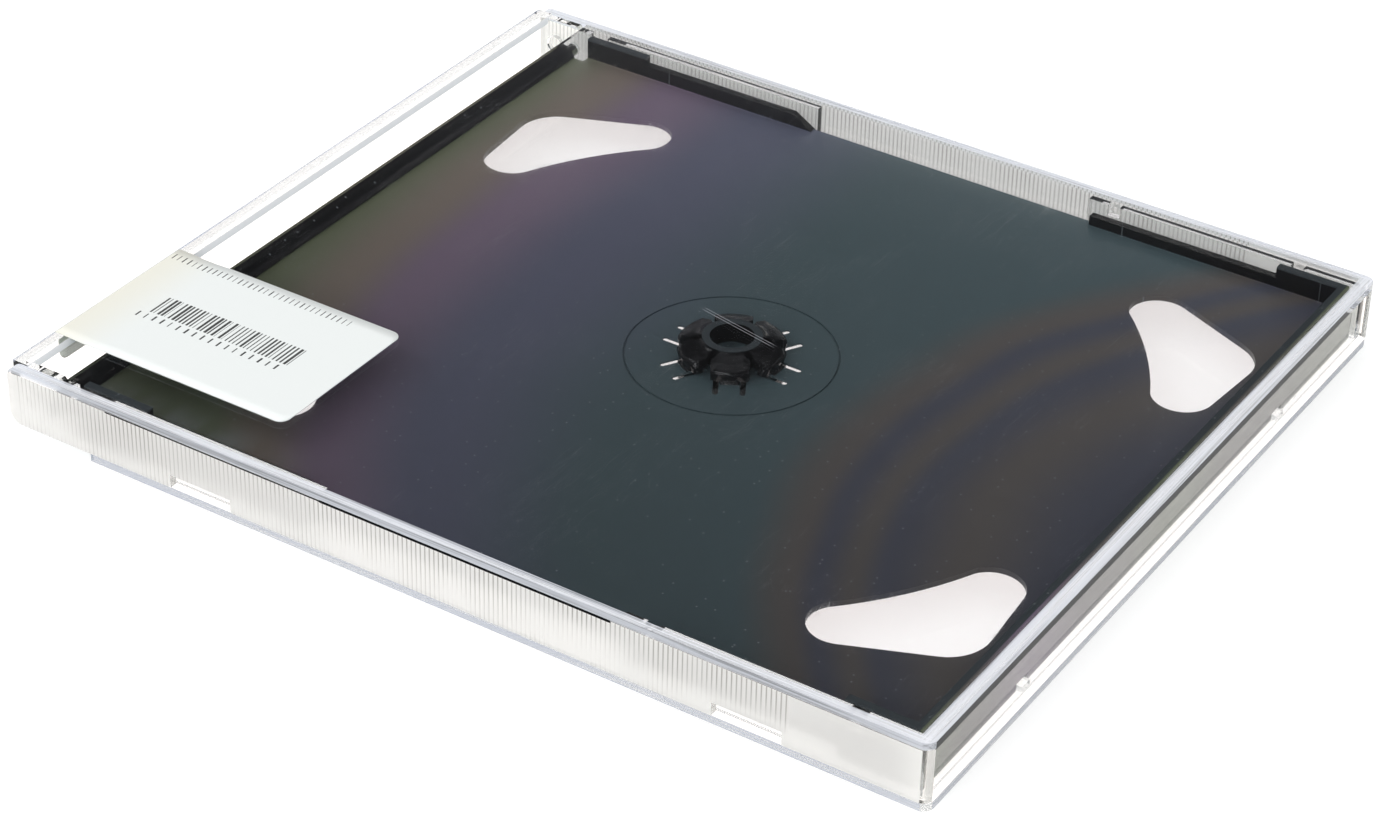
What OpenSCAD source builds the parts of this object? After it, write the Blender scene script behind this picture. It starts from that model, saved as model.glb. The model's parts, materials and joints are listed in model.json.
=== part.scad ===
/* [Case] */
// Radius of the disc that the case is made round
disc_r = 60; // [58:0.5:62]
// Room between the disc and the spine's outer face
rear_room = 14.9; // [14.7:0.1:17]
// Room between the disc and the opening end
front_room = 7.1; // [6.8:0.1:8]
// Room between the disc and each side of the case
side_room = 2.5; // [2.4:0.1:4]
// Height of the closed case
case_h = 10.4; // [10.2:0.1:11.4]
// Thickness of the clear plates of lid and base
plate_t = 1.2; // [1:0.05:1.3]
// Thickness of the lid's side walls
wall_t = 1.2; // [1:0.05:1.3]
// Thickness of the base's spine, opening wall and hinge cheeks
base_wall_t = 1.2; // [1:0.05:1.3]
// Corner radius of the case at its opening end, seen from above
corner_r = 1.5; // [1.3:0.1:2.5]
// Running gap between two clear pieces
gap = 0.2; // [0.15:0.05:0.25]

/* [Hinge] */
// Distance from the spine's outer face to the lid's pins
pin_from_spine = 3.8; // [3.7:0.05:4]
// Height of the lid's pins above the table
pin_z = 5.9; // [5.7:0.05:6]
// Radius of the lid's pins
pin_r = 1.2; // [0.9:0.05:1.3]
// Distance from the lid's pins to the rear edge of its plate
arm_reach = 5.3; // [5.2:0.05:5.6]
// Radius of the arms' rear corners
arm_r = 1.9; // [1.7:0.1:2.2]
// Width of the lip along the top of the spine
lip_w = 2.6; // [2:0.1:2.8]
// Distance from the spine to the front end of the hinge cheeks
cheek_l = 10.6; // [10.2:0.1:11.6]
// Clearance round every pin in its hole
pin_clear = 0.15; // [0.1:0.05:0.2]

/* [Side walls] */
// Gap between the lid's side walls and the base plate below them
skirt_gap = 0.15; // [0.1:0.05:0.3]
// Distance from the spine to where the base plate widens under the walls
flange_from = 13.7; // [13:0.1:16]
// Thickness of the base's inner side walls
inner_wall_t = 1; // [0.8:0.1:1.1]
// Start of the open middle stretch, measured from the case's middle
open_from = -19; // [-24:0.5:-14]
// End of the open middle stretch, measured from the case's middle
open_to = 27; // [20:0.5:29]
// Width of the notches in the lower edge of the lid's walls
notch_w = 10; // [6:0.5:12]
// Height of those notches
notch_h = 2; // [1:0.1:3]
// Distance from the middle to the rear notch
notch_rear = 38.4; // [34:0.1:42]
// Distance from the middle to the front notch
notch_front = 45.8; // [42:0.1:48]
// Radius of the round booklet studs on the lid's walls
stud_r = 0.6; // [0.4:0.05:0.7]
// Length of the booklet studs
stud_l = 0.9; // [0.6:0.1:1]
// Distance of the studs' middle below the lid's plate
stud_drop = 1; // [0.8:0.1:1.5]
// Gap between a stud and its notch in the base's inner wall
stud_gap = 0.35; // [0.25:0.05:0.5]
// Distance from the opening to the front pair of studs
stud_edge = 11; // [9:0.5:14]
// Distance between the two studs of one wall
stud_pitch = 29; // [24:0.5:34]

/* [Tray] */
// Thickness of the tray's plate
leaf_t = 0.8; // [0.7:0.05:1]
// Thickness of the tray's rims
tray_t = 1.2; // [1:0.1:1.4]
// Height of the tray's front edge and corner rims, over both faces
tray_h = 7.5; // [6.6:0.1:7.6]
// Height of the low rims nearer the spine, over both faces
low_rear_h = 5; // [3:0.1:5.5]
// Height of the low rims nearer the opening, over both faces
low_front_h = 4; // [3:0.1:5]
// Gap between the tray and the walls round it
tray_gap = 0.4; // [0.25:0.05:0.5]
// Radius of the tray's hinge bar
bar_r = 2.3; // [1.8:0.05:2.4]
// Distance from the lid's pins to the tray's pins
bar_from_pin = 3.4; // [3.2:0.05:3.6]
// Radius of the tray's pins
tray_pin_r = 0.95; // [0.8:0.05:1]
// Gap from the hinge bar's ends to the hinge cheeks
bar_end_gap = 2.6; // [1:0.1:4]
// Length of the corner rims at the hinge end
corner_rear_l = 10.8; // [8:0.1:14]
// Length of the corner rims at the opening end
corner_front_l = 10.6; // [8:0.1:14]
// Length of the sloped end of a rim
ramp_l = 3.5; // [2:0.5:6]
// Half width of the stubs that hold the tray's front edge
stub_w = 1; // [0.6:0.1:1.5]
// Height of those stubs above the base plate
stub_h = 0.8; // [0.5:0.1:1]
// Distance of those stubs from the case's middle line
stub_y = 36; // [28:0.5:44]

/* [Hubs] */
// Radius of the hole of a disc, which the hub's arms grip
disc_hole_r = 7.5; // [7.3:0.05:7.6]
// Width of an arm's foot, between its slots
arm_w = 2.9; // [2.5:0.1:4]
// Width of an arm's head
head_w = 5.3; // [4.6:0.1:5.5]
// Radius of the head's corners, seen from above
head_r = 1.3; // [0.8:0.1:1.6]
// Number of arms of each hub
arm_n = 6; // [5:1:6]
// Height of a hub above the middle of the tray's plate
hub_h = 3.5; // [3:0.05:3.6]
// Thickness of an arm
finger_t = 1; // [0.8:0.05:1.1]
// How far an arm's top slopes down from the ring
arm_slope = 0.9; // [0.6:0.1:1.2]
// Outer radius of the ring in the middle
ring_r = 4.2; // [3.6:0.1:4.4]
// Wall of that ring
ring_w = 1.1; // [0.8:0.1:1.5]
// Width of the slots that free the arms
slot_w = 0.8; // [0.7:0.05:1]
// How far the slots run out past the arms
slot_l = 2.5; // [2.2:0.1:4]
// Radius of the round groove that marks the disc's seat
groove_r = 14.8; // [14:0.1:17]
// Width of that groove
groove_w = 0.35; // [0.2:0.05:0.5]
// Depth of that groove
groove_d = 0.2; // [0.1:0.05:0.25]

/* [Finger openings] */
// How far the openings reach in under the disc's edge
finger_under = 3; // [2:0.1:4]
// Radius of the end rounds
finger_end_r = 4.4; // [3.6:0.1:4.6]
// Angle of the end near the case's side
finger_a1 = 44.9; // [44:0.1:46]
// Angle of the end near the opening
finger_a2 = 25.6; // [24:0.1:27]
// Radius of the outer corner round
finger_out_r = 6.3; // [5:0.1:6.5]
// Distance of the corner round's middle from the disc's edge
finger_out = 5.5; // [4.8:0.1:5.7]
// Angle of the corner round
finger_out_a = 34; // [33:0.1:35]

/* [Price label] */
// Width of the label along the spine
label_w = 26; // [20:0.5:32]
// Length of the label on the lid's plate
label_l = 30; // [20:0.5:36]
// Distance of the label from the near side of the case
label_edge = 9.7; // [4:0.1:14]
// Thickness of the label
label_t = 0.1; // [0.06:0.01:0.15]
// Corner radius of the label
label_r = 1.5; // [0.8:0.1:3]

/* [Hidden] */
$fn = 64;
cut = 0.5;

case_l = 2 * disc_r + rear_room + front_room;
case_w = 2 * (disc_r + side_room);
hub_x = (rear_room - front_room) / 2;
x_spine = -case_l / 2;
x_open = case_l / 2;
half_w = case_w / 2;
pin_x = x_spine + pin_from_spine;
lid_under = case_h - plate_t;
lid_rear = pin_x + arm_reach;
lid_in = half_w - wall_t;
stud_z = lid_under - stud_drop;
stud_x = [x_open - stud_edge, x_open - stud_edge - stud_pitch];
skirt_z = plate_t + skirt_gap;

// The base stands inside the lid's side walls
base_out = lid_in - gap;
base_front = x_open - plate_t + gap;
front_in = base_front - base_wall_t;
flange_x = x_spine + flange_from;
cheek_in = base_out - base_wall_t;
side_in = base_out - inner_wall_t;
base_top = lid_under - gap;
// Whatever the lid's rear edge swings round stays inside this radius
swing_r = norm([arm_reach, lid_under - pin_z]) - gap;

// The tray hangs between the cheeks, in the middle of the height
tray_z = case_h / 2;
tray_x = pin_x + bar_from_pin;
tray_half = min(cheek_in, side_in) - gap;
tray_front = front_in - tray_gap - gap;
tray_rear = tray_x + bar_r - cut;
bar_half = cheek_in - bar_end_gap;
rim_rear = tray_x + bar_r + 1.6;
ramp_from = open_from - ramp_l;
stub_l = 1.8;
stub_clear = 0.5;
bead = 0.12;
lap = 0.3;
waist_z = leaf_t / 2 + lap;
foot_w = arm_w - lap;
slot_in_r = ring_r + 1;
slot_end_r = disc_hole_r + slot_l;
finger_r = disc_r - finger_under;

// A slab from x0 to x1 whose two corners at x1 are rounded
module slab(x0, x1, half, z0, z1, r) {
  translate([x0, -half, z0]) cube([x1 - x0 - r, 2 * half, z1 - z0]);
  translate([x0, -half + r, z0]) cube([x1 - x0, 2 * (half - r), z1 - z0]);
  for (s = [-1, 1])
    translate([x1 - r, s * (half - r), z0]) cylinder(r = r, h = z1 - z0);
}

// A block on both sides of the case, from y0 to y1 off the middle line
module both_sides(x0, x1, y0, y1, z0, z1) {
  for (s = [-1, 1])
    translate([x0, s > 0 ? y0 : -y1, z0]) cube([x1 - x0, y1 - y0, z1 - z0]);
}

// A round bar across the case on both sides, from y0 to y1 off the middle line
module side_pins(x, z, r, y0, y1) {
  for (s = [-1, 1])
    translate([x, s > 0 ? y0 : -y1, z]) rotate([-90, 0, 0]) cylinder(r = r, h = y1 - y0);
}

// The rear end of the lid's side walls: an arm with two rounded corners
module arm_ends() {
  z0 = skirt_z;
  z1 = case_h;
  both_sides(x_spine + arm_r, lid_rear, lid_in, half_w, z0, z1);
  both_sides(x_spine, x_spine + 2 * arm_r, lid_in, half_w, z0 + arm_r, z1 - arm_r);
  for (z = [z0 + arm_r, z1 - arm_r])
    side_pins(x_spine + arm_r, z, arm_r, lid_in, half_w);
}

module lid() color([0.86, 0.9, 0.92, 0.35]) {
  difference() {
    union() {
      slab(lid_rear, x_open, half_w, lid_under, case_h, corner_r);
      intersection() {
        slab(lid_rear - cut, x_open, half_w, skirt_z, case_h, corner_r);
        both_sides(lid_rear - cut, x_open, lid_in, half_w, skirt_z, case_h);
      }
      arm_ends();
    }
    for (x = [-notch_rear, notch_front])
      both_sides(x - notch_w / 2, x + notch_w / 2, lid_in - cut, half_w + cut,
                 skirt_z - cut, skirt_z + notch_h);
  }
  side_pins(pin_x, pin_z, pin_r, cheek_in + gap, lid_in + cut);
  for (x = stud_x) side_pins(x, stud_z, stud_r, lid_in - stud_l, lid_in + cut);
}

// Upright cheeks that hold both hinges; a round top lets the lid's edge pass
module cheeks() {
  difference() {
    union() {
      both_sides(x_spine, x_spine + cheek_l, cheek_in, base_out, 0, base_top);
      intersection() {
        side_pins(pin_x, pin_z, swing_r, cheek_in, base_out);
        both_sides(x_spine, lid_rear - gap, cheek_in, base_out, 0, case_h - gap);
      }
    }
    side_pins(pin_x, pin_z, pin_r + pin_clear, cheek_in - cut, base_out + cut);
    side_pins(tray_x, tray_z, tray_pin_r + pin_clear, cheek_in - cut, base_out + cut);
  }
}

module spine() {
  h = case_h;
  translate([x_spine, -base_out, 0]) cube([base_wall_t, 2 * base_out, h]);
  translate([x_spine, -base_out, lid_under]) cube([lip_w, 2 * base_out, plate_t]);
}

module base() color([0.84, 0.89, 0.92, 0.35]) {
  difference() {
    slab(x_spine, x_open, half_w - gap, 0, plate_t, corner_r);
    both_sides(x_spine - cut, flange_x, base_out, half_w + cut, -cut, plate_t + cut);
  }
  spine();
  cheeks();
  // Opening wall
  translate([front_in, -base_out, 0]) cube([base_wall_t, 2 * base_out, base_top]);
  // Inner side walls, with the middle left open for the fingers
  difference() {
    union() {
      both_sides(flange_x, open_from, side_in, base_out, 0, base_top);
      both_sides(open_to, base_front, side_in, base_out, 0, base_top);
    }
    for (x = stud_x)
      both_sides(x - stud_r - stud_gap, x + stud_r + stud_gap, side_in - cut, base_out + cut,
                 stud_z - stud_r - stud_gap, case_h);
  }
  // Stubs under the tray's front edge
  for (s = [-1, 1])
    translate([front_in - stub_l, s * stub_y - stub_w, 0])
      cube([stub_l + cut, 2 * stub_w, plate_t + stub_h]);
}

// The two points where a line touches circles [x, y, r] on their outer side
function tangent(a, b) =
  let (d = norm([b[0] - a[0], b[1] - a[1]]),
       n = atan2(b[1] - a[1], b[0] - a[0]) - acos((a[2] - b[2]) / d))
  [[a[0] + a[2] * cos(n), a[1] + a[2] * sin(n)],
   [b[0] + b[2] * cos(n), b[1] + b[2] * sin(n)]];

// One opening beside the disc's edge, in the first quadrant round the hub
module finger_opening() {
  // The end rounds reach in under the inner arc a little, so that it cuts them cleanly
  reach = finger_r + finger_end_r - 0.05;
  rounds = [[reach * cos(finger_a2), reach * sin(finger_a2), finger_end_r],
            [(disc_r + finger_out) * cos(finger_out_a), (disc_r + finger_out) * sin(finger_out_a),
             finger_out_r],
            [reach * cos(finger_a1), reach * sin(finger_a1), finger_end_r]];
  difference() {
    union() {
      for (c = rounds) translate([c[0], c[1], 0]) cylinder(r = c[2], h = tray_h, center = true);
      linear_extrude(height = tray_h, center = true)
        polygon([for (i = [0:2]) each tangent(rounds[i], rounds[(i + 1) % 3])]);
    }
    cylinder(r = finger_r, h = tray_h + cut, center = true, $fn = 180);
  }
}

// A rim piece from x0 to x1 on side s, h high over both faces
module rim_piece(s, x0, x1, h) {
  y = s * (tray_half - tray_t / 2);
  translate([x0, y - tray_t / 2, -h / 2]) cube([x1 - x0, tray_t, h]);
}

// The rims of one side: full height in the corners, lower beside the open stretch
module rim(s) {
  rear = rim_rear + corner_rear_l;
  front = tray_front - corner_front_l;
  rim_piece(s, rim_rear, rear, tray_h);
  rim_piece(s, front, tray_front, tray_h);
  rim_piece(s, rear - cut, ramp_from, low_rear_h);
  rim_piece(s, open_to + 1, front + cut, low_front_h);
  // The rear rim runs down to the plate in a slope
  translate([ramp_from - cut, s * (tray_half - tray_t / 2), 0]) rotate([90, 0, 0])
    linear_extrude(height = tray_t, center = true)
      polygon([[0, -low_rear_h / 2], [cut, -low_rear_h / 2], [cut + ramp_l, -leaf_t / 2],
               [cut + ramp_l, leaf_t / 2], [cut, low_rear_h / 2], [0, low_rear_h / 2]]);
}

// The section of the arms: they stand on the plate, bulge to grip and lean in on the ring
module arm_section() {
  r = disc_hole_r;
  top = hub_h - arm_slope;
  inside = r - finger_t - bead;
  ring_top = hub_h - arm_slope / 3;
  polygon([[inside, -leaf_t / 4], [r + lap, -leaf_t / 4], [r + lap, waist_z - lap / 2], [r - bead, waist_z],
           [r + bead, top - finger_t], [r + bead, top - finger_t / 2], [r - finger_t / 2, top],
           [ring_r - lap, ring_top], [ring_r - lap, ring_top - finger_t], [inside, top - finger_t]]);
}

// The outline of one arm's head from above: narrow at the ring, with round outer corners
module head_outline() {
  mid = disc_hole_r + lap - head_r;
  half = head_w / 2;
  translate([0, head_r - half]) square([2 * disc_hole_r, 2 * (half - head_r)]);
  polygon([[0, 0], [ring_r, -head_w / 3], [mid - head_r, -half], [mid, -half],
           [mid, half], [mid - head_r, half], [ring_r, head_w / 3]]);
  for (s = [-1, 1]) translate([mid, s * (half - head_r)]) circle(r = head_r);
}

// One hub: arms all round that lean on the ring in the middle
module hub() {
  intersection() {
    rotate_extrude() arm_section();
    for (i = [0:arm_n - 1]) rotate([0, 0, i * 360 / arm_n]) {
      translate([0, 0, waist_z]) linear_extrude(height = hub_h) head_outline();
      translate([0, -foot_w / 2, -leaf_t]) cube([2 * disc_hole_r, foot_w, leaf_t + waist_z + lap]);
    }
  }
  difference() {
    cylinder(r = ring_r, h = hub_h);
    translate([0, 0, -cut]) cylinder(r = ring_r - ring_w, h = hub_h + 2 * cut);
  }
}

// Slots on both sides of each arm, round at both ends
module slots() {
  for (i = [0:arm_n - 1], s = [-1, 1]) rotate([0, 0, i * 360 / arm_n])
    translate([slot_in_r, s * (arm_w + slot_w) / 2, -leaf_t]) {
      translate([0, -slot_w / 2, 0]) cube([slot_end_r - slot_in_r - slot_w / 2, slot_w, 2 * leaf_t]);
      for (x = [0, slot_end_r - slot_in_r - slot_w / 2])
        translate([x, 0, 0]) cylinder(r = slot_w / 2, h = 2 * leaf_t);
    }
}

// The groove in the plate's upper face; mirrored, the one in its lower face
module seat_groove() {
  translate([0, 0, leaf_t / 2 - groove_d]) difference() {
    cylinder(r = groove_r + groove_w / 2, h = leaf_t);
    translate([0, 0, -cut]) cylinder(r = groove_r - groove_w / 2, h = leaf_t + 2 * cut);
  }
}

module tray() color([0.09, 0.09, 0.1]) translate([0, 0, tray_z]) {
  difference() {
    translate([tray_rear, -tray_half, -leaf_t / 2])
      cube([tray_front - tray_rear, 2 * tray_half, leaf_t]);
    // The rear corners stop short of the hinge cheeks
    both_sides(tray_rear - cut, rim_rear, bar_half, half_w, -leaf_t, leaf_t);
    translate([hub_x, 0, 0]) {
      seat_groove();
      mirror([0, 0, 1]) seat_groove();
      slots();
      for (a = [0, 1], b = [0, 1]) mirror([a, 0, 0]) mirror([0, b, 0]) finger_opening();
    }
  }
  translate([hub_x, 0, 0]) {
    hub();
    mirror([0, 0, 1]) hub();
  }
  // Hinge bar and its pins
  translate([tray_x, -bar_half, 0]) rotate([-90, 0, 0]) cylinder(r = bar_r, h = 2 * bar_half);
  side_pins(tray_x, 0, tray_pin_r, bar_half - cut, base_out - gap);
  // Rims: the whole front edge, then both sides
  difference() {
    translate([tray_front - tray_t, -tray_half, -tray_h / 2]) cube([tray_t, 2 * tray_half, tray_h]);
    for (s = [-1, 1])
      translate([tray_front - tray_t - cut, s * stub_y - stub_w - stub_clear, -tray_h])
        cube([tray_t + 2 * cut, 2 * (stub_w + stub_clear),
              tray_h + plate_t + stub_h + stub_clear - tray_z]);
  }
  for (s = [-1, 1]) rim(s);
}

// The part of the label that lies on the lid's plate
module price_label() color([0.97, 0.97, 0.95])
  translate([0, label_edge + label_w / 2 - half_w, 0])
    slab(lid_rear, lid_rear + label_l, label_w / 2, case_h, case_h + label_t, label_r);

lid();
base();
tray();
price_label();
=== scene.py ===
import json
import logging
import math
from dataclasses import dataclass
from enum import Enum

import bmesh
import bpy
from mathutils import Matrix, Vector

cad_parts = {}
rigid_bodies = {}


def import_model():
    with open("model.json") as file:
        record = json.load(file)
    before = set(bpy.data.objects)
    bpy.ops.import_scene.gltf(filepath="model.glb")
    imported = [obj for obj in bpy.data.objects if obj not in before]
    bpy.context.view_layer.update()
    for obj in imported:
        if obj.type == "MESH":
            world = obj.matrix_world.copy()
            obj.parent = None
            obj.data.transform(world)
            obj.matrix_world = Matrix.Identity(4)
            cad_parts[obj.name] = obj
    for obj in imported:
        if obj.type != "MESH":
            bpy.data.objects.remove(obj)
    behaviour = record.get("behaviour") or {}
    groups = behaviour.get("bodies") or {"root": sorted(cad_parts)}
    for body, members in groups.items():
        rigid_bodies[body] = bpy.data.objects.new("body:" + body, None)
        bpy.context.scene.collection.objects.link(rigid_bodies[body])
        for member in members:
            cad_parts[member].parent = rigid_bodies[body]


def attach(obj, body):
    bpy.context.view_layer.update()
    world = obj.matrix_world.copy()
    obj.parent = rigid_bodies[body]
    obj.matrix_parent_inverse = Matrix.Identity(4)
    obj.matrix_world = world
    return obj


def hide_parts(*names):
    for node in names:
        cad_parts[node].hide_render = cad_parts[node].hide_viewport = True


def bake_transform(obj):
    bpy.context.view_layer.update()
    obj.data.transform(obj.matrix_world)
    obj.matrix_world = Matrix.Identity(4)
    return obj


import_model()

log = logging.getLogger("slim_case")
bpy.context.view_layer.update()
MM = 0.001


class Body(Enum):
    """The rigid bodies that pieces ride on."""

    LID = "lid"
    BASE = "base"
    TRAY = "tray"


class PaintedReflectionTint(Enum):
    """Painted reflection colours for the tray: tints that the stressed clear lid above shows in light reflected off
    it.
    """

    OLIVE = "#585c48"
    TAUPE = "#6c6058"
    MAUVE = "#685868"
    SLATE = "#505060"
    TEAL = "#404c50"
    UMBER = "#504a48"
    INK = "#42424c"


def linear(code: str, alpha: float = 1.0) -> tuple[float, float, float, float]:
    """Turn an sRGB hex colour into linear light.

    Args:
        code: The colour as #rrggbb.
        alpha: The fourth channel.

    Returns:
        Red, green, blue and alpha, in linear light.
    """
    channels = [int(code[i:i + 2], 16) / 255 for i in (1, 3, 5)]
    light = [c / 12.92 if c <= 0.04045 else ((c + 0.055) / 1.055) ** 2.4 for c in channels]
    return (light[0], light[1], light[2], alpha)


def add_node(tree: bpy.types.NodeTree, kind: str, inputs: dict | None = None, **settings) -> bpy.types.Node:
    """Add one node, with its settings, values and links.

    Args:
        tree: The node tree that gets the node.
        kind: The node's type, without the words ShaderNode.
        inputs: Socket name or number to a value, or to the output that feeds it.
        settings: The node's own properties.

    Returns:
        The new node.
    """
    node = tree.nodes.new("ShaderNode" + kind)
    for key, value in settings.items():
        setattr(node, key, value)
    for key, value in (inputs or {}).items():
        if isinstance(value, bpy.types.NodeSocket):
            tree.links.new(value, node.inputs[key])
        else:
            node.inputs[key].default_value = value
    return node


def new_material(name: str) -> tuple[bpy.types.Material, bpy.types.NodeTree, bpy.types.Node]:
    """Make an empty node material.

    Args:
        name: The material's name.

    Returns:
        The material, its node tree and its output node.
    """
    material = bpy.data.materials.new(name)
    material.use_nodes = True
    tree = material.node_tree
    tree.nodes.clear()
    return material, tree, add_node(tree, "OutputMaterial")


def math_node(tree: bpy.types.NodeTree, operation: str, a, b=0.0, clamp: bool = False) -> bpy.types.NodeSocket:
    """Do one sum in a node tree.

    Args:
        tree: The node tree.
        operation: The name of the sum, such as ADD.
        a: The first value or socket.
        b: The second value or socket.
        clamp: True to keep the result between 0 and 1.

    Returns:
        The socket that holds the result.
    """
    return add_node(tree, "Math", {0: a, 1: b}, operation=operation, use_clamp=clamp).outputs[0]


def step(tree: bpy.types.NodeTree, value, low: float, high: float) -> bpy.types.NodeSocket:
    """Rise smoothly from 0 at low to 1 at high.

    Args:
        tree: The node tree.
        value: The socket that is read.
        low: Where the rise starts.
        high: Where it ends; below low, the result falls instead.

    Returns:
        The socket that holds the result.
    """
    if high > low:
        ends = {"From Min": low, "From Max": high, "To Min": 0.0, "To Max": 1.0}
    else:
        ends = {"From Min": high, "From Max": low, "To Min": 1.0, "To Max": 0.0}
    return add_node(tree, "MapRange", {"Value": value, **ends}, interpolation_type="SMOOTHSTEP").outputs[0]


def place_mm(tree: bpy.types.NodeTree) -> tuple[bpy.types.NodeSocket, ...]:
    """Read the place on the object, in millimetres of the shared frame.

    Args:
        tree: The node tree.

    Returns:
        The x, y and z sockets, and the vector that they come from.
    """
    coordinate = add_node(tree, "TexCoord")
    scaled = add_node(tree, "VectorMath", {0: coordinate.outputs["Object"], "Scale": 1 / MM}, operation="SCALE")
    parts = add_node(tree, "SeparateXYZ", {0: scaled.outputs[0]})
    return parts.outputs[0], parts.outputs[1], parts.outputs[2], scaled.outputs[0]


@dataclass(frozen=True)
class CrystalPolystyrene:
    """General-purpose polystyrene, injection moulded in a polished steel tool.

    It is water-clear and bends light strongly, with greyer light where the
    eye looks along a wall, and it scuffs into fine hairlines.
    """

    name: str = "crystal_polystyrene"
    tint: str = "#fbfcfc"
    edge_tint: str = "#b4c2cc"
    absorption: float = 11.0
    ior: float = 1.59
    roughness: float = 0.015
    hairline_mm: float = 9.0
    lamp_share: str = "#f1f4f4"
    edge_reflection_tint: str = "#aab2c4"
    edge_share: float = 0.45
    foot_top: float = 1.5
    slit_x: float = -68.2
    slit_tint: str = "#f2f4f8"

    def slit_ends(self, tree: bpy.types.NodeTree, x, z) -> bpy.types.NodeSocket:
        """Find the cut ends of the plates at the hinge slit, which look white.

        Args:
            tree: The node tree.
            x: The place along the case, in millimetres.
            z: Its height.

        Returns:
            A mask that is 1 on those upright ends.
        """
        facing = add_node(tree, "SeparateXYZ", {0: add_node(tree, "NewGeometry").outputs["True Normal"]})
        upright = math_node(tree, "GREATER_THAN", math_node(tree, "ABSOLUTE", facing.outputs[0]), 0.8)
        near = step(tree, math_node(tree, "ABSOLUTE", math_node(tree, "SUBTRACT", x, self.slit_x)), 1.0, 0.9)
        return math_node(tree, "MULTIPLY", math_node(tree, "MULTIPLY", upright, near), step(tree, z, 8.6, 8.8))

    def flow_lines(self, tree: bpy.types.NodeTree, place, across: tuple[float, float, float]) -> bpy.types.NodeSocket:
        """Draw the long fine lines that run in a moulded edge.

        Args:
            tree: The node tree.
            place: The place in millimetres.
            across: How fast the lines change along x, y and z.

        Returns:
            A value that is mostly 0.3 to 0.7.
        """
        stretched = add_node(tree, "VectorMath", {0: place, 1: across}, operation="MULTIPLY")
        return add_node(tree, "TexNoise", {"Vector": stretched.outputs[0], "Scale": 1.0, "Detail": 2.0}).outputs[0]

    def fine_marks(self, tree: bpy.types.NodeTree, place: bpy.types.NodeSocket) -> bpy.types.NodeSocket:
        """Draw hairline scuffs, finer ones than a render shows drawn coarser.

        Args:
            tree: The node tree.
            place: The place in millimetres.

        Returns:
            A mask that is 1 on a scuff.
        """
        marks = None
        for turn, stretch in ((0.5, 0.03), (2.0, 0.05)):
            turned = add_node(tree, "Mapping", {"Vector": place, "Rotation": (0, 0, turn),
                                                "Scale": (1 / self.hairline_mm, stretch / self.hairline_mm, 0.02)})
            noise = add_node(tree, "TexNoise", {"Vector": turned.outputs[0], "Scale": 9.0, "Detail": 3.0})
            line = step(tree, math_node(tree, "ABSOLUTE", math_node(tree, "SUBTRACT", noise.outputs["Fac"], 0.5)),
                        0.006, 0.001)
            patch = add_node(tree, "TexNoise", {"Vector": place, "Scale": 0.07, "Detail": 1.0})
            line = math_node(tree, "MULTIPLY", line, step(tree, patch.outputs["Fac"], 0.5, 0.62))
            marks = line if marks is None else math_node(tree, "MAXIMUM", marks, line)
        return marks

    def whitened(self, tree: bpy.types.NodeTree, shader: bpy.types.Node, x, z) -> bpy.types.Node:
        """Whiten the ends at the hinge slit.

        Args:
            tree: The node tree.
            shader: The plastic's shader.
            x: The place along the case, in millimetres.
            z: Its height.

        Returns:
            The mixed shader.
        """
        white = add_node(tree, "BsdfDiffuse", {"Color": linear(self.slit_tint)})
        through = add_node(tree, "BsdfTranslucent", {"Color": linear(self.slit_tint)})
        both = add_node(tree, "MixShader", {0: 0.5, 1: white.outputs[0], 2: through.outputs[0]})
        return add_node(tree, "MixShader", {0: self.slit_ends(tree, x, z), 1: shader.outputs[0],
                                            2: both.outputs[0]})

    def close(self, tree: bpy.types.NodeTree, out: bpy.types.Node, shader: bpy.types.Node) -> None:
        """Let lamps through the clear plastic and shade what is long in it.

        Args:
            tree: The node tree.
            out: The material's output.
            shader: The plastic's own shader.
        """
        path = add_node(tree, "LightPath")
        passing = math_node(tree, "MAXIMUM", path.outputs["Is Shadow Ray"], path.outputs["Is Diffuse Ray"])
        clear = add_node(tree, "BsdfTransparent", {"Color": linear(self.lamp_share)})
        mixed = add_node(tree, "MixShader", {0: passing, 1: shader.outputs[0], 2: clear.outputs[0]})
        tree.links.new(mixed.outputs[0], out.inputs["Surface"])
        dimmed = add_node(tree, "VolumeAbsorption", {"Color": linear(self.edge_tint), "Density": self.absorption})
        tree.links.new(dimmed.outputs[0], out.inputs["Volume"])

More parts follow.
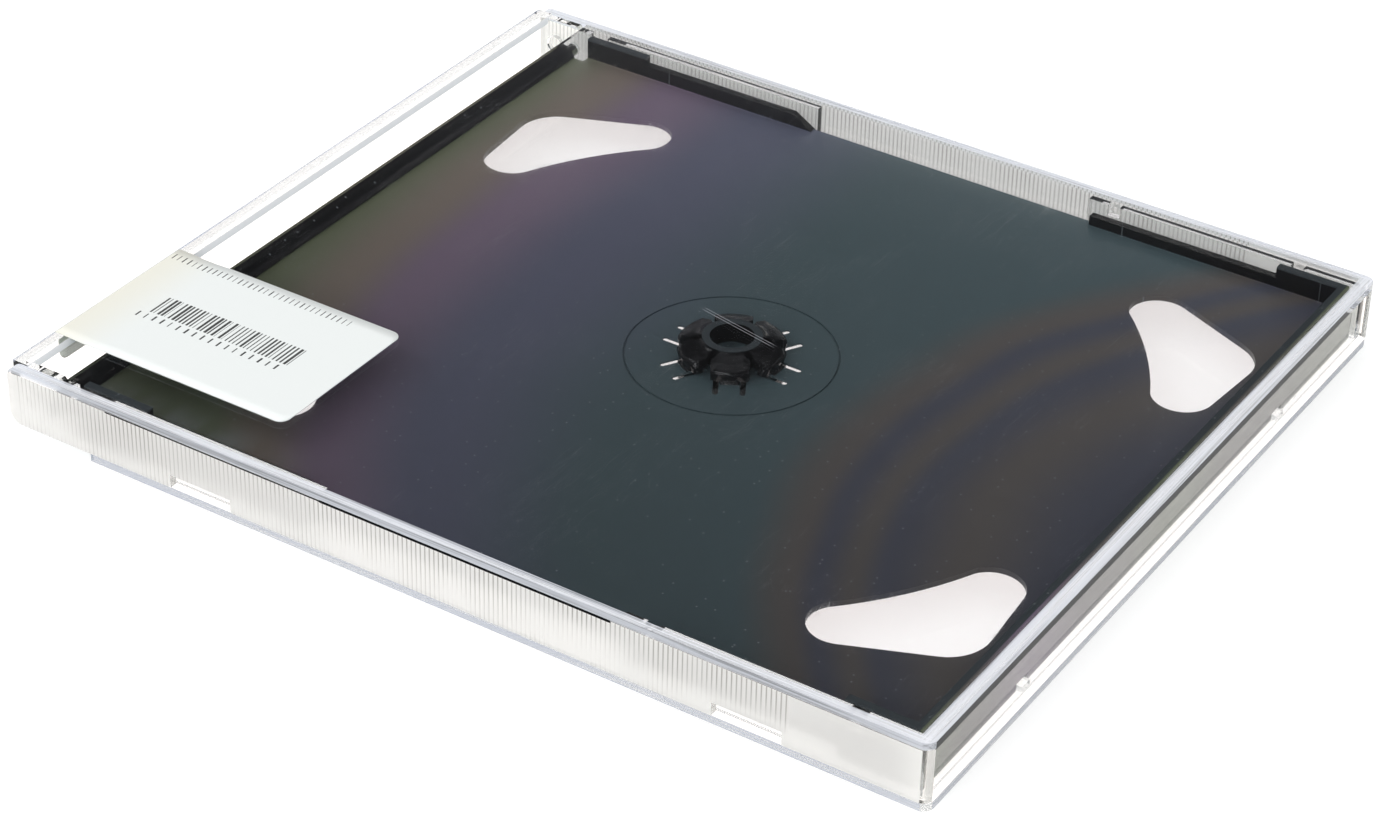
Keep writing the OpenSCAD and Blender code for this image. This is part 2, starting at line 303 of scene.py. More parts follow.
    def build(self) -> bpy.types.Material:
        """Make the clear material.

        Returns:
            The material.
        """
        material, tree, out = new_material(self.name)
        x, y, z, place = place_mm(tree)
        marks = self.fine_marks(tree, place)
        rough = math_node(tree, "MULTIPLY_ADD", marks, 0.25)
        rough.node.inputs[2].default_value = self.roughness
        swell = add_node(tree, "TexNoise", {"Vector": place, "Scale": 0.03, "Detail": 1.0})
        bump = add_node(tree, "Bump", {"Height": swell.outputs["Fac"], "Distance": 0.05 * MM, "Strength": 0.5})
        shader = add_node(tree, "BsdfPrincipled", {
            "Base Color": linear(self.tint), "Roughness": rough, "IOR": self.ior,
            "Transmission Weight": 1.0, "Normal": bump.outputs[0]})
        # Painted reflection: the outer sides, the front face (most at its foot) and the spine's top are painted a
        # grey-blue diffuse haze, streaked along flow lines, for the light seen along the clear edges.
        foot = math_node(tree, "MULTIPLY_ADD", step(tree, z, self.foot_top, self.foot_top - 0.3), 0.9)
        foot.node.inputs[2].default_value = 0.1
        rim = math_node(tree, "MAXIMUM", step(tree, math_node(tree, "ABSOLUTE", y), 62.2, 62.28),
                        math_node(tree, "MULTIPLY", step(tree, x, 70.9, 70.98), foot))
        lines = self.flow_lines(tree, place, (0.05, 0.05, 4.0))
        painted_edge_haze = add_node(tree, "BsdfDiffuse", {"Color": linear(self.edge_reflection_tint)})
        spine = math_node(tree, "MULTIPLY", step(tree, x, -70.5, -70.9), step(tree, z, 10.0, 10.2))
        rim = math_node(tree, "MAXIMUM", rim, spine)
        edged = add_node(tree, "MixShader", {0: math_node(tree, "MULTIPLY", rim, math_node(
            tree, "MULTIPLY", lines, 2 * self.edge_share)), 1: shader.outputs[0], 2: painted_edge_haze.outputs[0]})
        self.close(tree, out, self.whitened(tree, edged, x, z))
        return material


@dataclass(frozen=True)
class RibbedPolystyrene(CrystalPolystyrene):
    """The same clear moulding with fine upright ribs cut in the tool's sides.

    The ribs scatter light, so the side walls look milky, with thin grey lines of
    painted shade in the rib grooves, next to a smooth spark-eroded panel near the opening.
    """

    name: str = "ribbed_polystyrene"
    rib_pitch: float = 0.7
    rib_depth: float = 0.16
    rib_from: float = -69.4
    rib_to: float = 51.7
    rib_top: float = 9.2
    wall_out: float = 62.5
    frost: float = 0.3
    frost_tint: str = "#fffdfa"
    rib_groove_shade: str = "#b4afaa"
    lit_edge_tint: str = "#e6e9f1"
    gap_reflection_dark: str = "#17181a"
    milk_share: float = 0.88
    glow_share: float = 0.35
    top_share: float = 0.8
    scratch_from: tuple[float, float] = (-2.4, 2.3)
    scratch_turn: float = -0.2
    scratch_l: float = 13.7
    scratch_apart: float = 0.25

    def scratches(self, tree: bpy.types.NodeTree, place, z) -> bpy.types.NodeSocket:
        """Draw the pair of long scratches on the plate over the hub.

        Args:
            tree: The node tree.
            place: The place in millimetres.
            z: Its height.

        Returns:
            A mask that is 1 on the scratches.
        """
        moved = add_node(tree, "VectorMath", {0: place, 1: (*self.scratch_from, 0)}, operation="SUBTRACT")
        turned = add_node(tree, "VectorRotate", {"Vector": moved.outputs[0], "Angle": -self.scratch_turn},
                          rotation_type="Z_AXIS")
        parts = add_node(tree, "SeparateXYZ", {0: turned.outputs[0]})
        along, across = parts.outputs[0], parts.outputs[1]
        off = math_node(tree, "ABSOLUTE", math_node(tree, "SUBTRACT", math_node(
            tree, "ABSOLUTE", across), self.scratch_apart))
        line = math_node(tree, "MULTIPLY", step(tree, off, 0.06, 0.01), step(tree, z, 10.3, 10.38))
        ends = math_node(tree, "MULTIPLY", step(tree, along, -0.5, 1.0),
                         step(tree, along, self.scratch_l + 0.5, self.scratch_l - 1.5))
        return math_node(tree, "MULTIPLY", line, ends)

    def streaked(self, tree: bpy.types.NodeTree, lines: bpy.types.NodeSocket) -> bpy.types.NodeSocket:
        """Turn flow lines into a hazy share that never falls to clear.

        Args:
            tree: The node tree.
            lines: The flow lines.

        Returns:
            A share from 0.5 to 1.
        """
        share = math_node(tree, "MULTIPLY_ADD", step(tree, lines, 0.32, 0.6), 0.5)
        share.node.inputs[2].default_value = 0.5
        return share

    def build(self) -> bpy.types.Material:
        """Make the clear material with its ribbed and frosted side walls.

        Returns:
            The material.
        """
        material, tree, out = new_material(self.name)
        x, y, z, place = place_mm(tree)
        marks = self.fine_marks(tree, place)
        side = step(tree, math_node(tree, "ABSOLUTE", y), self.wall_out - 0.06, self.wall_out - 0.03)
        below = step(tree, z, self.rib_top + 0.1, self.rib_top)
        wall = math_node(tree, "MULTIPLY", side, below)
        along = math_node(tree, "MULTIPLY", step(tree, x, self.rib_from - 0.1, self.rib_from),
                          step(tree, x, self.rib_to + 0.1, self.rib_to))
        ribbed = math_node(tree, "MULTIPLY", wall, along)
        turn = math_node(tree, "MULTIPLY", x, 2 * math.pi / self.rib_pitch)
        wave = math_node(tree, "SINE", turn)
        ridge = math_node(tree, "POWER", math_node(tree, "ABSOLUTE", math_node(tree, "SINE",
                          math_node(tree, "MULTIPLY", turn, 0.5))), 0.6)
        grain = add_node(tree, "TexNoise", {"Vector": place, "Scale": 3.5, "Detail": 4.0, "Roughness": 0.7})
        height = math_node(tree, "MULTIPLY", ridge, ribbed)
        height = math_node(tree, "ADD", height, math_node(tree, "MULTIPLY", math_node(
            tree, "MULTIPLY", grain.outputs["Fac"], wall), 0.25))
        bump = add_node(tree, "Bump", {"Height": height, "Distance": self.rib_depth * MM, "Strength": 1.0})
        rough = math_node(tree, "MAXIMUM", math_node(tree, "MULTIPLY", wall, self.frost),
                          math_node(tree, "MULTIPLY", marks, 0.2))
        rough = math_node(tree, "MAXIMUM", rough, self.roughness)
        # Painted shade in the rib grooves: grey lines, stronger higher up the wall and in random patches.
        groove = math_node(tree, "MULTIPLY", step(tree, wave, 0.4, 0.95), ribbed)
        patch = add_node(tree, "TexNoise", {"Vector": place, "Scale": 0.11, "Detail": 1.0})
        fade = math_node(tree, "ADD", math_node(tree, "MULTIPLY", step(tree, z, 2.0, 9.0), 0.5), math_node(
            tree, "MULTIPLY", step(tree, patch.outputs["Fac"], 0.4, 0.62), 0.35))
        shade = add_node(tree, "Mix", {0: math_node(tree, "MULTIPLY", groove, fade), 6: linear(self.frost_tint),
                                       7: linear(self.rib_groove_shade)}, data_type="RGBA")
        # Painted light: the wall above the ribs, the top rails and the front edge, where light runs along the clear
        # plate, are painted a pale blue-white diffuse band, streaked along flow lines.
        edge = step(tree, z, self.rib_top + 0.1, self.rib_top + 0.2)
        lines = self.flow_lines(tree, place, (0.04, 3.0, 3.0))
        cross_lines = self.flow_lines(tree, place, (3.0, 0.04, 3.0))
        over = step(tree, z, 10.3, 10.38)
        rail = math_node(tree, "MULTIPLY", step(tree, math_node(tree, "ABSOLUTE", y), 61.2, 61.3), edge)
        front = math_node(tree, "MULTIPLY", step(tree, x, 68.9, 69.0), over)
        rail = math_node(tree, "MULTIPLY", rail, self.streaked(tree, lines))
        front = math_node(tree, "MULTIPLY", front, self.streaked(tree, cross_lines))
        band = math_node(tree, "MAXIMUM", rail, front)
        tinted = add_node(tree, "Mix", {0: edge, 6: shade.outputs[2], 7: linear(self.lit_edge_tint)}, data_type="RGBA")
        # Painted reflection: a dark line along the side walls at the ribs' top, where the black tray shows by
        # reflection in the wall, bolder from x = -18.6 mm on.
        bold = step(tree, x, -18.7, -18.4)
        painted_gap_line = math_node(tree, "MULTIPLY", math_node(tree, "MULTIPLY", side, step(tree, x, -54.2, -53.8)),
                        step(tree, x, 26.2, 26.0))
        off = math_node(tree, "ABSOLUTE", math_node(tree, "SUBTRACT", z, self.rib_top))
        width = math_node(tree, "MULTIPLY_ADD", bold, 0.1)
        width.node.inputs[2].default_value = 0.1
        painted_gap_line = math_node(tree, "MULTIPLY", painted_gap_line, math_node(tree, "LESS_THAN", off, width))
        shade = add_node(tree, "Mix", {0: painted_gap_line, 6: tinted.outputs[2], 7: linear(self.gap_reflection_dark)}, data_type="RGBA")
        shader = add_node(tree, "BsdfPrincipled", {
            "Base Color": shade.outputs[2], "Roughness": rough, "IOR": self.ior,
            "Transmission Weight": 1.0, "Normal": bump.outputs[0]})
        milk = add_node(tree, "BsdfDiffuse", {"Color": shade.outputs[2]})
        glow = add_node(tree, "BsdfTranslucent", {"Color": shade.outputs[2]})
        cloud = add_node(tree, "MixShader", {0: self.glow_share, 1: milk.outputs[0], 2: glow.outputs[0]})
        share = math_node(tree, "MAXIMUM", math_node(tree, "MULTIPLY", wall, self.milk_share),
                          math_node(tree, "MULTIPLY", self.scratches(tree, place, z), 0.6))
        share = math_node(tree, "MAXIMUM", share, math_node(tree, "MULTIPLY", band, self.top_share))
        share = math_node(tree, "MAXIMUM", share, painted_gap_line)
        milky = add_node(tree, "MixShader", {0: share, 1: shader.outputs[0], 2: cloud.outputs[0]})
        self.close(tree, out, self.whitened(tree, milky, x, z))
        return material


@dataclass(frozen=True)
class BlackPolystyrene:
    """High-impact polystyrene filled with carbon black, injection moulded.

    Its face is satin. Its flat faces carry painted sheen and painted reflection
    colours: broad bands of olive, violet and teal, which the stressed clear lid
    above shows in reflected light, and which crowd together near the opening.
    """

    name: str = "black_polystyrene"
    black: str = "#0d0d0f"
    # Painted sheen: a lighter grey on the faces at the hub ring's height.
    hub_ring_sheen: str = "#3c4043"
    roughness: float = 0.34
    hub_roughness: float = 0.14
    grain_mm: float = 0.35
    speck_mm: float = 2.6
    face_z: float = 0.42
    # Painted reflection colours for the plate's flat faces, placed along the case.
    bands: tuple[tuple[float, "PaintedReflectionTint"], ...] = (
        (-62.0, PaintedReflectionTint.OLIVE), (-53.0, PaintedReflectionTint.TAUPE), (-44.0, PaintedReflectionTint.MAUVE),
        (-28.0, PaintedReflectionTint.SLATE), (0.0, PaintedReflectionTint.TEAL), (20.0, PaintedReflectionTint.TEAL),
        (29.0, PaintedReflectionTint.UMBER), (33.0, PaintedReflectionTint.INK), (38.0, PaintedReflectionTint.UMBER),
        (42.0, PaintedReflectionTint.INK), (51.0, PaintedReflectionTint.UMBER), (63.0, PaintedReflectionTint.INK))
    # Painted light: the band colours brighten towards the far side and are lifted overall.
    far_lift: float = 0.0066
    all_lift: float = 1.16
    # Painted sheen colours for the skirt at the opening, brightened by skirt_lift.
    skirt: tuple[tuple[float, "PaintedReflectionTint"], ...] = (
        (-60.0, PaintedReflectionTint.OLIVE), (-48.0, PaintedReflectionTint.UMBER), (-34.0, PaintedReflectionTint.MAUVE),
        (-14.0, PaintedReflectionTint.UMBER), (4.0, PaintedReflectionTint.OLIVE), (24.0, PaintedReflectionTint.UMBER), (60.0, PaintedReflectionTint.OLIVE))
    skirt_lift: float = 1.4
    corner_highlight_tint: str = "#7c7e82"
    corner_highlight_share: float = 0.7
    skirt_x: float = 68.0
    bend: float = 0.0067

    def corner_light(self, tree: bpy.types.NodeTree, x, y, place) -> bpy.types.NodeSocket:
        """Find where the soft light streaks that the near wall throws by the hinge are painted in as a lighter grey.

        Args:
            tree: The node tree.
            x: Place along the case, in millimetres.
            y: Place across the case, in millimetres.
            place: The place in millimetres.

        Returns:
            A mask that is mostly 0 to 0.6.
        """
        stretched = add_node(tree, "VectorMath", {0: place, 1: (0.22, 0.02, 0.0)}, operation="MULTIPLY")
        streaks = add_node(tree, "TexNoise", {"Vector": stretched.outputs[0], "Scale": 1.0, "Detail": 2.0})
        near = math_node(tree, "MULTIPLY", step(tree, y, -50.0, -58.0), step(tree, x, -22.0, -46.0))
        return math_node(tree, "MULTIPLY", near, math_node(tree, "MULTIPLY", step(
            tree, streaks.outputs["Fac"], 0.3, 0.7), self.corner_highlight_share))

    def band_place(self, tree: bpy.types.NodeTree, x, y) -> bpy.types.NodeSocket:
        """Bend the upright painted reflection bands as the stress pattern in the clear lid bends them.

        Args:
            tree: The node tree.
            x: Place along the case, in millimetres.
            y: Place across the case, in millimetres.

        Returns:
            The place along the run of bands, in millimetres.
        """
        off = math_node(tree, "ADD", y, 2.0)
        square = math_node(tree, "MULTIPLY", off, off)
        far_left = math_node(tree, "MULTIPLY", step(tree, off, -8.0, 8.0), step(tree, x, 30.0, 0.0))
        amount = math_node(tree, "MULTIPLY", square, math_node(
            tree, "MULTIPLY", math_node(tree, "SUBTRACT", 1.0, far_left), self.bend))
        return math_node(tree, "SUBTRACT", x, amount)

    def colour_run(self, tree: bpy.types.NodeTree, value, run: tuple) -> bpy.types.NodeSocket:
        """Colour a place by a run of coloured stops.

        Args:
            tree: The node tree.
            value: The place in millimetres.
            run: Each stop's place and tint, in order.

        Returns:
            The colour socket.
        """
        low, high = run[0][0], run[-1][0]
        part = add_node(tree, "MapRange", {"Value": value, "From Min": low, "From Max": high})
        ramp = add_node(tree, "ValToRGB", {0: part.outputs[0]})
        ramp.color_ramp.interpolation = "EASE"
        stops = ramp.color_ramp.elements
        stops[0].color, stops[1].color = linear(run[0][1].value), linear(run[-1][1].value)
        for at, tint in run[1:-1]:
            stops.new((at - low) / (high - low)).color = linear(tint.value)
        return ramp.outputs[0]

    def build(self) -> bpy.types.Material:
        """Make the black material.

        Returns:
            The material.
        """
        material, tree, out = new_material(self.name)
        x, y, z, place = place_mm(tree)
        wobble = add_node(tree, "TexNoise", {"Vector": place, "Scale": 0.03, "Detail": 1.0})
        shifted = math_node(tree, "ADD", x, math_node(tree, "MULTIPLY", math_node(
            tree, "SUBTRACT", wobble.outputs["Fac"], 0.5), 5.0))
        # Painted sheen and reflection: the band colours along the case.
        bands = self.colour_run(tree, self.band_place(tree, shifted, y), self.bands)
        # Painted light: brighter towards the far side and lifted overall.
        lift = math_node(tree, "MULTIPLY_ADD", y, self.far_lift)
        lift.node.inputs[2].default_value = self.all_lift
        bands = add_node(tree, "HueSaturation", {"Value": lift, "Color": bands}).outputs[0]
        height = math_node(tree, "ABSOLUTE", math_node(tree, "SUBTRACT", z, 5.2))
        # Painted highlight: light streaks by the hinge, mixed into the band colours.
        lit = add_node(tree, "Mix", {0: self.corner_light(tree, x, y, place), 6: bands,
                                     7: linear(self.corner_highlight_tint)}, data_type="RGBA")
        # Painted sheen: the plate's flat faces take the lighter painted band colours, all other faces the black.
        flat = add_node(tree, "Mix", {0: step(tree, height, self.face_z + 0.2, self.face_z), 6: linear(self.black),
                                      7: lit.outputs[2]}, data_type="RGBA")
        # Painted sheen: the faces at the hub ring's height take a lighter grey.
        flat = add_node(tree, "Mix", {0: step(tree, height, 3.44, 3.48), 6: flat.outputs[2],
                                      7: linear(self.hub_ring_sheen)}, data_type="RGBA")
        # Painted sheen: the skirt at the opening takes its own run of sheen colours.
        front = step(tree, x, self.skirt_x - 0.1, self.skirt_x)
        skirt = add_node(tree, "HueSaturation", {"Value": self.skirt_lift, "Color": self.colour_run(
            tree, y, self.skirt)}).outputs[0]
        flat = add_node(tree, "Mix", {0: front, 6: flat.outputs[2], 7: skirt}, data_type="RGBA")
        specks = add_node(tree, "TexVoronoi", {"Vector": place, "Scale": 1 / self.speck_mm}, feature="F1",
                          voronoi_dimensions="2D")
        dot = step(tree, specks.outputs["Distance"], 0.07, 0.03)
        chance = math_node(tree, "GREATER_THAN", add_node(
            tree, "SeparateColor", {0: specks.outputs["Color"]}).outputs[0], 0.72)
        dust = add_node(tree, "Mix", {0: math_node(tree, "MULTIPLY", math_node(
            tree, "MULTIPLY", dot, chance), 0.5), 6: flat.outputs[2], 7: linear("#8f9396")}, data_type="RGBA")
        grain = add_node(tree, "TexNoise", {"Vector": place, "Scale": 1 / self.grain_mm, "Detail": 2.0})
        bump = add_node(tree, "Bump", {"Height": grain.outputs["Fac"], "Distance": 0.012 * MM, "Strength": 0.6})
        rough = add_node(tree, "Mix", {0: step(tree, height, self.face_z, self.face_z + 0.4), 2: self.roughness,
                                       3: self.hub_roughness}).outputs[0]
        sheen = math_node(tree, "MULTIPLY", math_node(tree, "SUBTRACT", 1.0, math_node(
            tree, "MULTIPLY", front, 0.8)), 0.35)
        shader = add_node(tree, "BsdfPrincipled", {
            "Base Color": dust.outputs[2], "Roughness": rough, "IOR": 1.5, "Specular IOR Level": sheen,
            "Normal": bump.outputs[0]})
        tree.links.new(shader.outputs[0], out.inputs["Surface"])
        return material


@dataclass(frozen=True)
class CoatedPaper:
    """Coated label paper with thermal print, cut to shape with round corners.

    It is a matt cool white; the print is a little soft at its edges.
    """

    name: str = "coated_paper"
    white: str = "#e6eae9"
    unbacked_shade: str = "#e6e5da"
    print_grey: str = "#1d1e1e"

    def build(self, label: "PriceLabel") -> bpy.types.Material:
        """Make the paper with its plain print.

        Args:
            label: The label that it is for, which gives the print's places.

        Returns:
            The material.
        """
        material, tree, out = new_material(self.name)
        x, y, _, place = place_mm(tree)
        ink = None
        for x0, x1, y0, y1, pitch, fill in label.print_fields():
            run = math_node(tree, "DIVIDE", math_node(tree, "SUBTRACT", x, x0), pitch)
            noise = add_node(tree, "TexWhiteNoise", {"W": math_node(tree, "FLOOR", run)}, noise_dimensions="1D")
            width = math_node(tree, "ADD", math_node(tree, "MULTIPLY", noise.outputs["Value"], fill), 0.12)
            bar = math_node(tree, "LESS_THAN", math_node(tree, "FRACT", run), width)
            inside = math_node(tree, "MULTIPLY", math_node(tree, "MULTIPLY", step(tree, x, x0 - 0.03, x0 + 0.03),
                                                           step(tree, x, x1 + 0.03, x1 - 0.03)),
                               math_node(tree, "MULTIPLY", step(tree, y, y0 - 0.03, y0 + 0.03),
                                         step(tree, y, y1 + 0.03, y1 - 0.03)))
            field = math_node(tree, "MULTIPLY", bar, inside)
            ink = field if ink is None else math_node(tree, "MAXIMUM", ink, field)
        fibre = add_node(tree, "TexNoise", {"Vector": place, "Scale": 1.4, "Detail": 5.0, "Roughness": 0.6})
        # Painted shade: the paper over the hinge strip and spine, where no white plate backs it, is painted
        # beige-grey for the dark parts below that show through it.
        sheet = add_node(tree, "Mix", {0: step(tree, x, -62.0, -71.0), 6: linear(self.white),
                                       7: linear(self.unbacked_shade)}, data_type="RGBA")
        colour = add_node(tree, "Mix", {0: math_node(tree, "MULTIPLY", ink, 0.95), 6: sheet.outputs[2],
                                        7: linear(self.print_grey)}, data_type="RGBA")
        bump = add_node(tree, "Bump", {"Height": fibre.outputs["Fac"], "Distance": 0.02 * MM, "Strength": 0.5})
        shader = add_node(tree, "BsdfPrincipled", {
            "Base Color": colour.outputs[2], "Roughness": 0.55, "IOR": 1.5, "Normal": bump.outputs[0]})
        tree.links.new(shader.outputs[0], out.inputs["Surface"])
        return material


@dataclass
class ClearShell:
    """A clear moulding of the case that keeps its CAD shape."""

    node: str
    finish: CrystalPolystyrene

    def dress(self) -> None:
        """Give the CAD node its clear material."""
        dress_node(self.node, self.finish.build())


@dataclass
class FlipTray:
    """The black tray that carries a disc on each face.

    It is the CAD tray with its plate thinned from below round every slot, so
    that light passes as in the photograph; how the real plate is thinned, and
    what stands under it, is not visible there.
    """

    node: str = "tray"
    finish: BlackPolystyrene = BlackPolystyrene()
    hub_x: float = 3.9
    middle_z: float = 5.2
    arms: int = 6
    web: float = 0.22
    face: float = 0.4
    relief_from: float = 5.0
    relief_to: float = 11.2
    relief_in: float = 0.5
    relief_out: float = 3.6

    def reliefs(self) -> bpy.types.Object:
        """Build the blocks that thin the plate beside the slots.

        Returns:
            One object that holds all the blocks.
        """
        shape = bmesh.new()
        low, high = self.middle_z - self.face - 0.05, self.middle_z + self.face - self.web
        for i in range(self.arms):
            turn = Matrix.Rotation(2 * math.pi * i / self.arms, 4, "Z")
            for side in (-1, 1):
                ends = (side * self.relief_in, side * self.relief_out)
                corners = [(x, y, z) for x in (self.relief_from, self.relief_to)
                           for y in (min(ends), max(ends)) for z in (low, high)]
                spots = [shape.verts.new((turn @ Vector(c) + Vector((self.hub_x, 0, 0))) * MM) for c in corners]
                bmesh.ops.convex_hull(shape, input=spots)
        data = bpy.data.meshes.new("slot_reliefs")
        shape.to_mesh(data)
        shape.free()
        cutter = bpy.data.objects.new("slot_reliefs", data)
        bpy.context.scene.collection.objects.link(cutter)
        return cutter

    def build(self) -> None:
        """Copy the CAD tray, thin it, finish it and let it stand for the node."""
        source = next(o for o in bpy.data.objects if o.name == self.node)
        piece = bpy.data.objects.new("flip_tray", source.data.copy())
        bpy.context.scene.collection.objects.link(piece)
        cutter = self.reliefs()
        cut = piece.modifiers.new("relief", "BOOLEAN")
        cut.operation, cut.solver, cut.object = "DIFFERENCE", "EXACT", cutter
        cut.use_self = True
        solved = piece.evaluated_get(bpy.context.evaluated_depsgraph_get())
        piece.data = bpy.data.meshes.new_from_object(solved)
        piece.modifiers.clear()
        bpy.data.objects.remove(cutter)
        piece.data.materials.clear()
        piece.data.materials.append(self.finish.build())
        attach(piece, Body.TRAY.value)
        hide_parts(self.node)
        log.info("tray thinned beside its slots: %d faces", len(piece.data.polygons))


@dataclass
class PriceLabel:
    """The paper label: on the lid's plate, over the hinge strip, down the spine."""

    front_x: float = -31.9
    plate_x: float = -61.9
    lip_x: float = -68.4
    spine_x: float = -71.0
    top_z: float = 10.4
    middle_y: float = -39.8
    width: float = 26.0
    drop: float = 4.2
    corner: float = 1.5
    thick: float = 0.1
    sag: float = 0.12
    fold_r: float = 0.35
    rows: int = 150
    columns: int = 14

    def print_fields(self) -> list[tuple[float, ...]]:
        """Give the plain printed fields.

        Returns:
            For each: its x range, its y range, the pitch of its strokes and the most of it that they fill.
        """
        y0 = self.middle_y
        return [(-63.8, -39.8, y0 - 1.8, y0 + 2.5, 0.62, 0.62),
                (-65.0, -40.9, y0 - 3.5, y0 - 2.3, 1.4, 0.12),
                (-70.2, -39.5, y0 + 10.5, y0 + 11.8, 0.9, 0.12)]

    def route(self, s: float) -> tuple[Vector, Vector]:
        """Follow the label from its front edge to its end on the spine.

        Args:
            s: The way along the paper from the front edge, in millimetres.

        Returns:
            The point on its underside, and the direction out of its face.
        """
        flat = self.front_x - self.spine_x - self.fold_r
        arc = self.fold_r * math.pi / 2
        if s <= flat:
            x = self.front_x - s
            hang = max(0.0, min(1.0, (self.plate_x - x) / (self.plate_x - self.lip_x)))
            return Vector((x, 0, self.top_z - self.sag * math.sin(math.pi * hang))), Vector((0, 0, 1))
        if s <= flat + arc:
            a = (s - flat) / self.fold_r
            centre = Vector((self.spine_x + self.fold_r, 0, self.top_z - self.fold_r))
            out = Vector((-math.sin(a), 0, math.cos(a)))
            return centre + out * self.fold_r, out
        return Vector((self.spine_x, 0, self.top_z - self.fold_r - (s - flat - arc))), Vector((-1, 0, 0))

    def half_width(self, s: float, length: float) -> float:
        """Give half the label's width at one place, with its round corners.

        Args:
            s: The way along the paper.
            length: The paper's whole length.

        Returns:
            Half the width there.
        """
        edge = min(s, length - s)
        if edge >= self.corner:
            return self.width / 2
        return self.width / 2 - self.corner + math.sqrt(max(0.0, self.corner ** 2 - (self.corner - edge) ** 2))

    def mesh(self) -> bpy.types.Object:
        """Build the label as a thin closed sheet.

        Returns:
            The new object.
        """
        length = (self.front_x - self.spine_x - self.fold_r) + self.fold_r * math.pi / 2 + self.drop
        stops = [length * (1 - math.cos(math.pi * i / self.rows)) / 2 for i in range(self.rows + 1)]
        stops = sorted(set(stops + [length - self.drop - self.fold_r * math.pi * k / 16 for k in range(9)]))
        shape = bmesh.new()
        layers = []
        for lift in (0.0, self.thick):
            grid = []
            for s in stops:
                point, out = self.route(s)
                half = self.half_width(s, length)
                row = []
                for c in range(self.columns + 1):
                    y = self.middle_y + half * (2 * c / self.columns - 1)
                    at = point + out * (lift + 0.01)
                    row.append(shape.verts.new(Vector((at.x, y, at.z)) * MM))
                grid.append(row)
            layers.append(grid)
        under, over = layers
        last, edge = len(stops) - 1, self.columns
        for i in range(last):
            for c in range(edge):
                shape.faces.new((over[i][c], over[i][c + 1], over[i + 1][c + 1], over[i + 1][c]))
                shape.faces.new((under[i][c], under[i + 1][c], under[i + 1][c + 1], under[i][c + 1]))
            for c in (0, edge):
                shape.faces.new((over[i][c], over[i + 1][c], under[i + 1][c], under[i][c]))
        for i in (0, last):
            for c in range(edge):
                shape.faces.new((over[i][c], over[i][c + 1], under[i][c + 1], under[i][c]))
        bmesh.ops.recalc_face_normals(shape, faces=shape.faces)
        data = bpy.data.meshes.new("paper_label")
        shape.to_mesh(data)
        shape.free()
        for face in data.polygons:
            face.use_smooth = abs(face.normal.y) < 0.5
        piece = bpy.data.objects.new("paper_label", data)
        bpy.context.scene.collection.objects.link(piece)
        return piece

    def build(self) -> None:
        """Make the label, finish it and hide the CAD label that it stands for."""
        piece = self.mesh()
        piece.data.materials.append(CoatedPaper().build(self))
        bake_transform(piece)
        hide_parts("price_label")


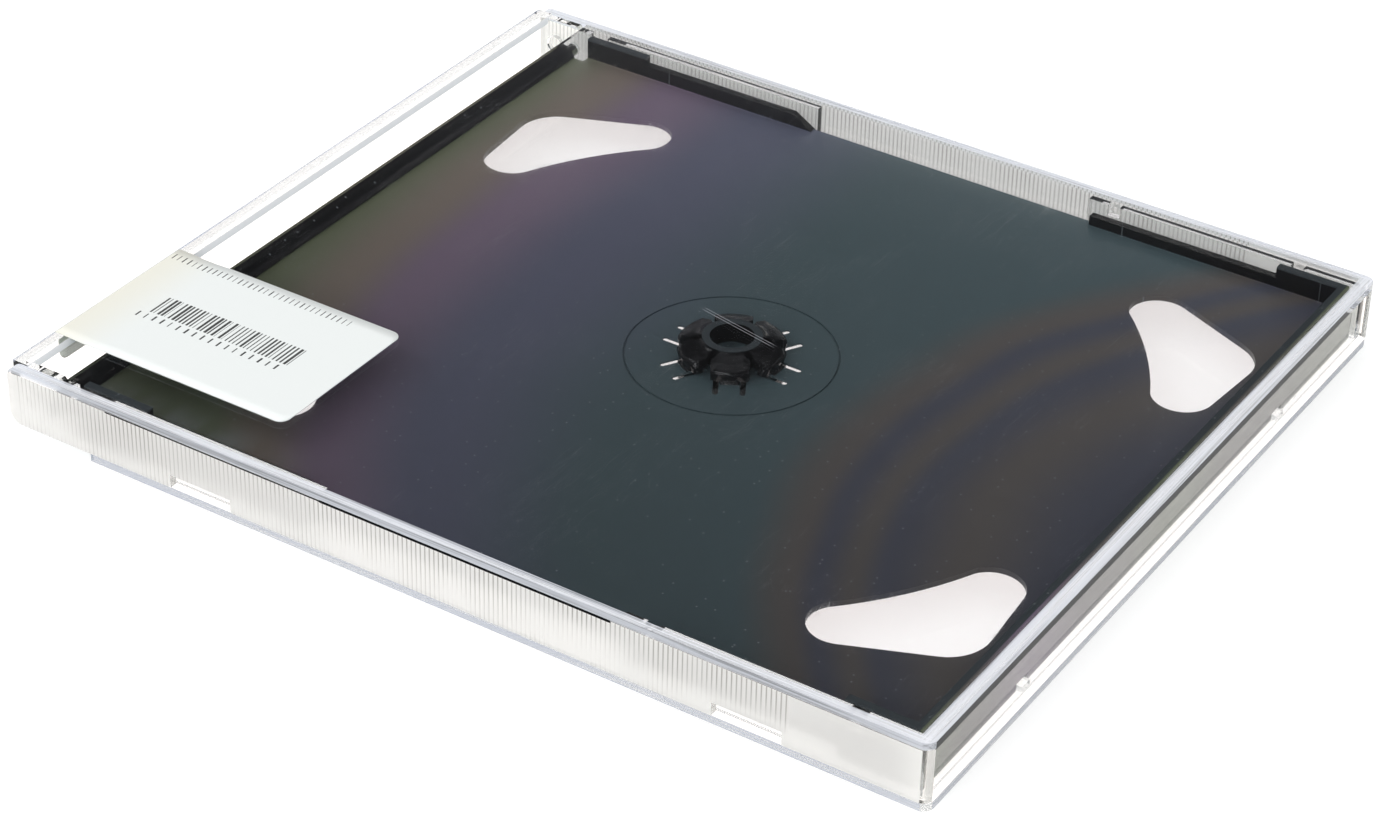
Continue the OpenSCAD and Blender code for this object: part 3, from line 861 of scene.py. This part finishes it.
@dataclass
class Studio:
    """White table, soft light and the photograph's viewpoint."""

    camera_at: tuple[float, float, float] = (222.79, -357.66, 278.87)
    camera_turn: tuple[float, float, float] = (56.123, -1.162, 33.002)
    lens: float = 95.46
    table: float = 6.0
    ambient: float = 0.85
    through_tint: str = "#ffeee6"

    def camera(self) -> None:
        """Set the camera as it was fitted to the case's corners in the photograph."""
        data = bpy.data.cameras.new("photo_view")
        data.sensor_width = 36.0
        data.lens = self.lens
        data.clip_start = 0.01
        data.clip_end = 50.0
        view = bpy.data.objects.new("photo_view", data)
        view.location = [v * MM for v in self.camera_at]
        view.rotation_euler = [math.radians(v) for v in self.camera_turn]
        bpy.context.scene.collection.objects.link(view)
        bpy.context.scene.camera = view

    def floor(self) -> None:
        """Lay the white table, which keeps the soft shadow."""
        material, tree, out = new_material("white_table")
        path = add_node(tree, "LightPath")
        seen = math_node(tree, "MAXIMUM", path.outputs["Is Camera Ray"], path.outputs["Is Transmission Ray"])
        seen = math_node(tree, "MAXIMUM", seen, math_node(tree, "MULTIPLY", path.outputs["Is Glossy Ray"], 0.2))
        matt = add_node(tree, "BsdfDiffuse", {"Color": linear("#c8c8c8")})
        glow = add_node(tree, "Emission", {"Color": (1, 1, 1, 1), "Strength": math_node(
            tree, "MULTIPLY", seen, 0.55)})
        warm = add_node(tree, "Emission", {"Color": linear(self.through_tint), "Strength": math_node(
            tree, "MULTIPLY", path.outputs["Is Transmission Ray"], 0.65)})
        both = add_node(tree, "AddShader", {0: matt.outputs[0], 1: glow.outputs[0]})
        both = add_node(tree, "AddShader", {0: both.outputs[0], 1: warm.outputs[0]})
        tree.links.new(both.outputs[0], out.inputs["Surface"])
        shape = bmesh.new()
        bmesh.ops.create_circle(shape, cap_ends=True, radius=self.table, segments=96)
        data = bpy.data.meshes.new("white_table")
        shape.to_mesh(data)
        shape.free()
        data.materials.append(material)
        top = bpy.data.objects.new("white_table", data)
        bpy.context.scene.collection.objects.link(top)

    def world(self) -> None:
        """Light all round: plain for matt faces, white behind, dimmer in gloss."""
        world = bpy.data.worlds.new("soft_tent")
        bpy.context.scene.world = world
        world.use_nodes = True
        tree = world.node_tree
        tree.nodes.clear()
        path = add_node(tree, "LightPath")
        direction = add_node(tree, "SeparateXYZ", {0: add_node(tree, "TexCoord").outputs["Generated"]})
        tent = add_node(tree, "ValToRGB", {0: direction.outputs[2]})
        stops = tent.color_ramp.elements
        stops[0].position, stops[0].color = 0.1, (1, 1, 1, 1)
        stops[1].position, stops[1].color = 0.42, (0.2, 0.2, 0.21, 1)
        for at, level in ((0.52, 0.03), (0.72, 0.05), (0.9, 0.7)):
            stops.new(at).color = (level, level, level, 1)
        ambient = (self.ambient, self.ambient, self.ambient, 1)
        sharp = math_node(tree, "MAXIMUM", path.outputs["Is Glossy Ray"], path.outputs["Is Transmission Ray"])
        gloss = add_node(tree, "Mix", {0: sharp, 6: ambient, 7: tent.outputs[0]}, data_type="RGBA")
        shown = add_node(tree, "Mix", {0: path.outputs["Is Camera Ray"], 6: gloss.outputs[2], 7: (1, 1, 1, 1)},
                         data_type="RGBA")
        back = add_node(tree, "Background", {"Color": shown.outputs[2], "Strength": 1.0})
        end = add_node(tree, "OutputWorld")
        tree.links.new(back.outputs[0], end.inputs["Surface"])

    def lamp(self, name: str, at: tuple[float, float, float], size: float, power: float) -> None:
        """Hang one soft box that points at the case.

        Args:
            name: The lamp's name.
            at: Its place in metres.
            size: The side of its square face in metres.
            power: Its power in watts.
        """
        data = bpy.data.lights.new(name, "AREA")
        data.shape = "SQUARE"
        data.size = size
        data.energy = power
        box = bpy.data.objects.new(name, data)
        box.location = at
        box.rotation_euler = Vector(at).to_track_quat("Z", "Y").to_euler()
        bpy.context.scene.collection.objects.link(box)

    def build(self) -> None:
        """Set up camera, table, world and lamps."""
        bpy.context.scene.view_settings.view_transform = "Standard"
        self.camera()
        self.floor()
        self.world()
        self.lamp("left_box", (-0.9, -0.5, 1.0), 0.7, 4.0)
        self.lamp("near_box", (0.15, -1.2, 0.5), 0.8, 7.5)


def dress_node(node: str, material: bpy.types.Material) -> None:
    """Give a CAD node its finish.

    Args:
        node: The node's name.
        material: The finish.
    """
    piece = next(o for o in bpy.data.objects if o.name == node)
    if not piece.material_slots:
        piece.data.materials.append(material)
    for slot in piece.material_slots:
        slot.material = material
    log.info("%s is dressed in %s", node, material.name)


def main() -> None:
    """Build the scene in order and report each piece."""
    Studio().build()
    ClearShell("lid", RibbedPolystyrene()).dress()
    ClearShell("base", CrystalPolystyrene()).dress()
    FlipTray().build()
    PriceLabel().build()
    log.info("label laid over the hinge")


if __name__ == "__main__":
    logging.basicConfig(level=logging.INFO)
    main()
